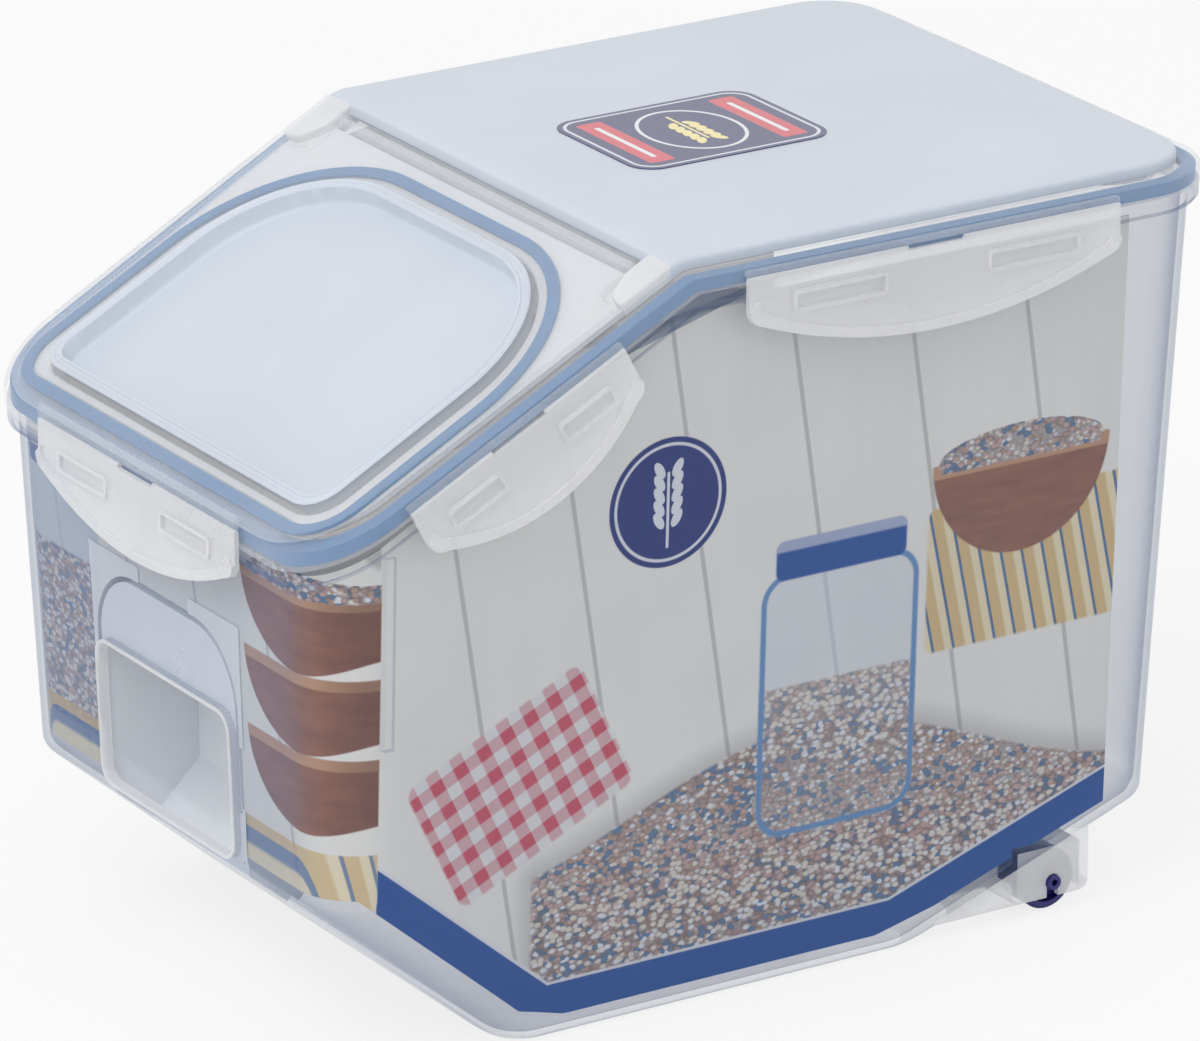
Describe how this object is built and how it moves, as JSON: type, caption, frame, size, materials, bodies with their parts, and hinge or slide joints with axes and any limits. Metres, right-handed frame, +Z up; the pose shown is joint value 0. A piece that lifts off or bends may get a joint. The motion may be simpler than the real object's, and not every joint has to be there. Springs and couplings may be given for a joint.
{
  "type": "rice bin with flip lid",
  "caption": "Translucent bin for rice and grain with a sloped front, a clip-on lid, a hinged flip lid over its scoop opening, a front hand grip and rear wheels.",
  "frame": {"origin": "middle of the bin's outline on the floor that it stands on", "axes": "+X to the right seen from the front, +Y to the rear with the wheels, +Z up; the slope and the hand grip face -Y"},
  "size_m": [0.2208, 0.3358, 0.2454],
  "materials": {
    "tub_plastic": "clear polypropylene, glossy outside, slightly frosted",
    "lid_plastic": "frosted translucent polypropylene with a fine sheen",
    "latch_plastic": "milky polypropylene with clear rims",
    "seal_rubber": "soft blue silicone",
    "wheel_plastic": "navy moulded plastic",
    "printed_card": "printed card sheet, satin",
    "label_film": "printed film label",
    "cup_plastic": "translucent polypropylene"
  },
  "bodies": {
    "tub": {"body": "tub_plastic", "printed_sheet": "printed_card"},
    "lid": {"main_lid": "lid_plastic", "main_gasket": "seal_rubber", "top_label": "label_film"},
    "flip": {"flip_lid": "lid_plastic", "flip_gasket": "seal_rubber"},
    "front_latch": {"latch_front": "latch_plastic"},
    "rear_latch": {"latch_rear": "latch_plastic"},
    "side_latch_right": {"latch_side_right": "latch_plastic"},
    "side_latch_left": {"latch_side_left": "latch_plastic"},
    "slope_latch_right": {"latch_slope_right": "latch_plastic"},
    "slope_latch_left": {"latch_slope_left": "latch_plastic"},
    "right_wheel": {"wheel_right": "wheel_plastic"},
    "left_wheel": {"wheel_left": "wheel_plastic"},
    "cup": {"measuring_cup": "cup_plastic"}
  },
  "joints": [
    {"name": "lid_lift", "type": "slide", "parent": "tub", "child": "lid", "axis": [0, 0, 1], "range_m": [0, 0.3]},
    {"name": "flip_hinge", "type": "hinge", "parent": "lid", "child": "flip", "pos_m": [0, -0.04108, 0.23898], "axis": [-1, 0, 0], "range_deg": [0, 110]},
    {"name": "front_latch_hinge", "type": "hinge", "parent": "flip", "child": "front_latch", "pos_m": [0, -0.166, 0.1713], "axis": [-1, 0, 0], "range_deg": [0, 115]},
    {"name": "rear_latch_hinge", "type": "hinge", "parent": "lid", "child": "rear_latch", "pos_m": [0, 0.166, 0.23735], "axis": [1, 0, 0], "range_deg": [0, 115]},
    {"name": "side_latch_right_hinge", "type": "hinge", "parent": "lid", "child": "side_latch_right", "pos_m": [0.1085, 0.0515, 0.23735], "axis": [0, -1, 0], "range_deg": [0, 115]},
    {"name": "side_latch_left_hinge", "type": "hinge", "parent": "lid", "child": "side_latch_left", "pos_m": [-0.1085, 0.0515, 0.23735], "axis": [0, 1, 0], "range_deg": [0, 115]},
    {"name": "slope_latch_right_hinge", "type": "hinge", "parent": "lid", "child": "slope_latch_right", "pos_m": [0.10722, -0.09644, 0.20409], "axis": [-0.0183, -0.8844, -0.4664], "range_deg": [0, 115]},
    {"name": "slope_latch_left_hinge", "type": "hinge", "parent": "lid", "child": "slope_latch_left", "pos_m": [-0.10722, -0.09644, 0.20409], "axis": [-0.0183, 0.8844, 0.4664], "range_deg": [0, 115]},
    {"name": "wheel_right_spin", "type": "hinge", "parent": "tub", "child": "right_wheel", "pos_m": [0.085, 0.109, 0.0105], "axis": [1, 0, 0], "continuous": true},
    {"name": "wheel_left_spin", "type": "hinge", "parent": "tub", "child": "left_wheel", "pos_m": [-0.085, 0.109, 0.0105], "axis": [1, 0, 0], "continuous": true},
    {"name": "cup_lift", "type": "slide", "parent": "tub", "child": "cup", "axis": [0, 0, 1], "range_m": [0, 0.14]}
  ]
}
